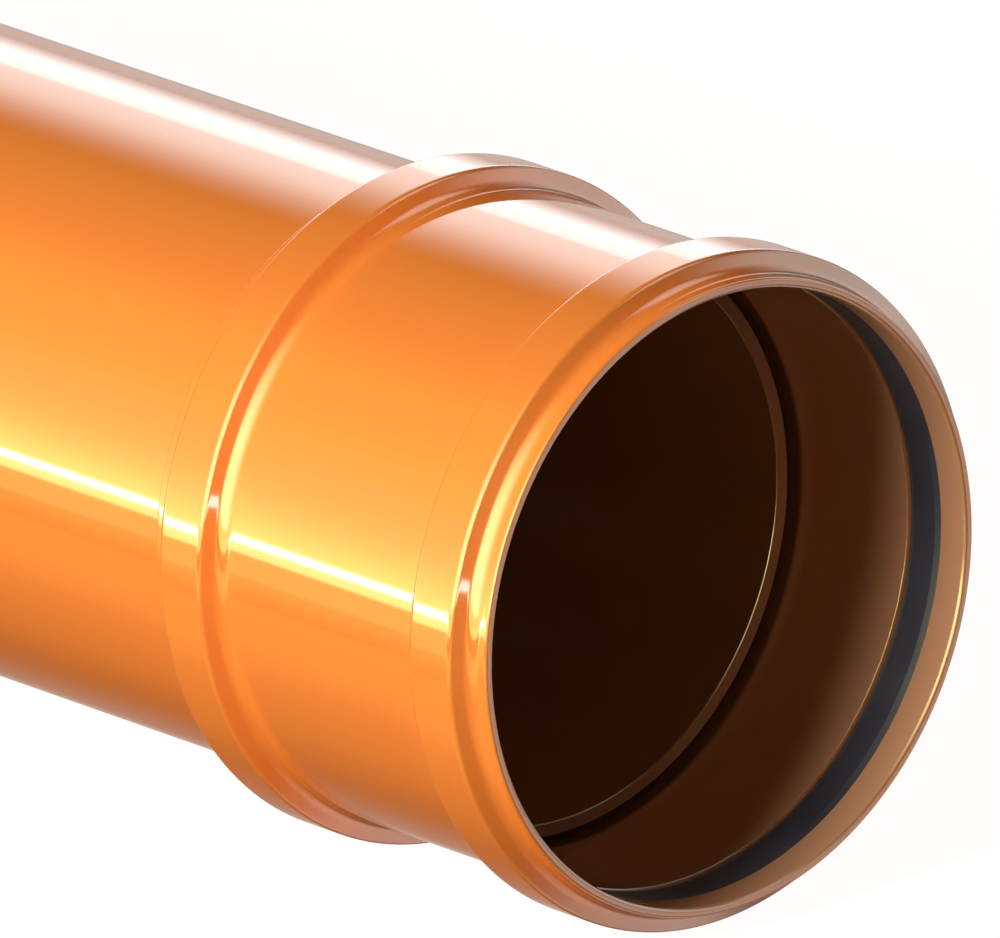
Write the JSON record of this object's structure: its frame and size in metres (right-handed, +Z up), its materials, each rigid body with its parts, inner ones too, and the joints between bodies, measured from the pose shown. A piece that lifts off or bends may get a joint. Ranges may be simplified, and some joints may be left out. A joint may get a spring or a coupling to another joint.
{
  "type": "polypropylene sewer pipe with double-socket sleeve",
  "caption": "Smooth orange sewer pipe with a beaded push-fit socket sleeve and rubber seal on one end and a bevelled spigot on the other.",
  "frame": {"origin": "on the ground, at the middle of the part's footprint", "axes": "+X along the pipe towards the open socket, +Z up; the pipe's axis slopes up by 1.22 degrees towards the socket, as it lies on its spigot end and the nearer bead"},
  "size_m": [0.568, 0.1788, 0.1811],
  "materials": {
    "pipe_plastic": "smooth glossy orange polypropylene",
    "sleeve_plastic": "smooth glossy orange polypropylene",
    "seal_rubber": "satin black rubber"
  },
  "bodies": {
    "root": {"pipe": "pipe_plastic", "coupler_sleeve": "sleeve_plastic", "mouth_seal": "seal_rubber", "pipe_seal": "seal_rubber"}
  },
  "joints": []
}
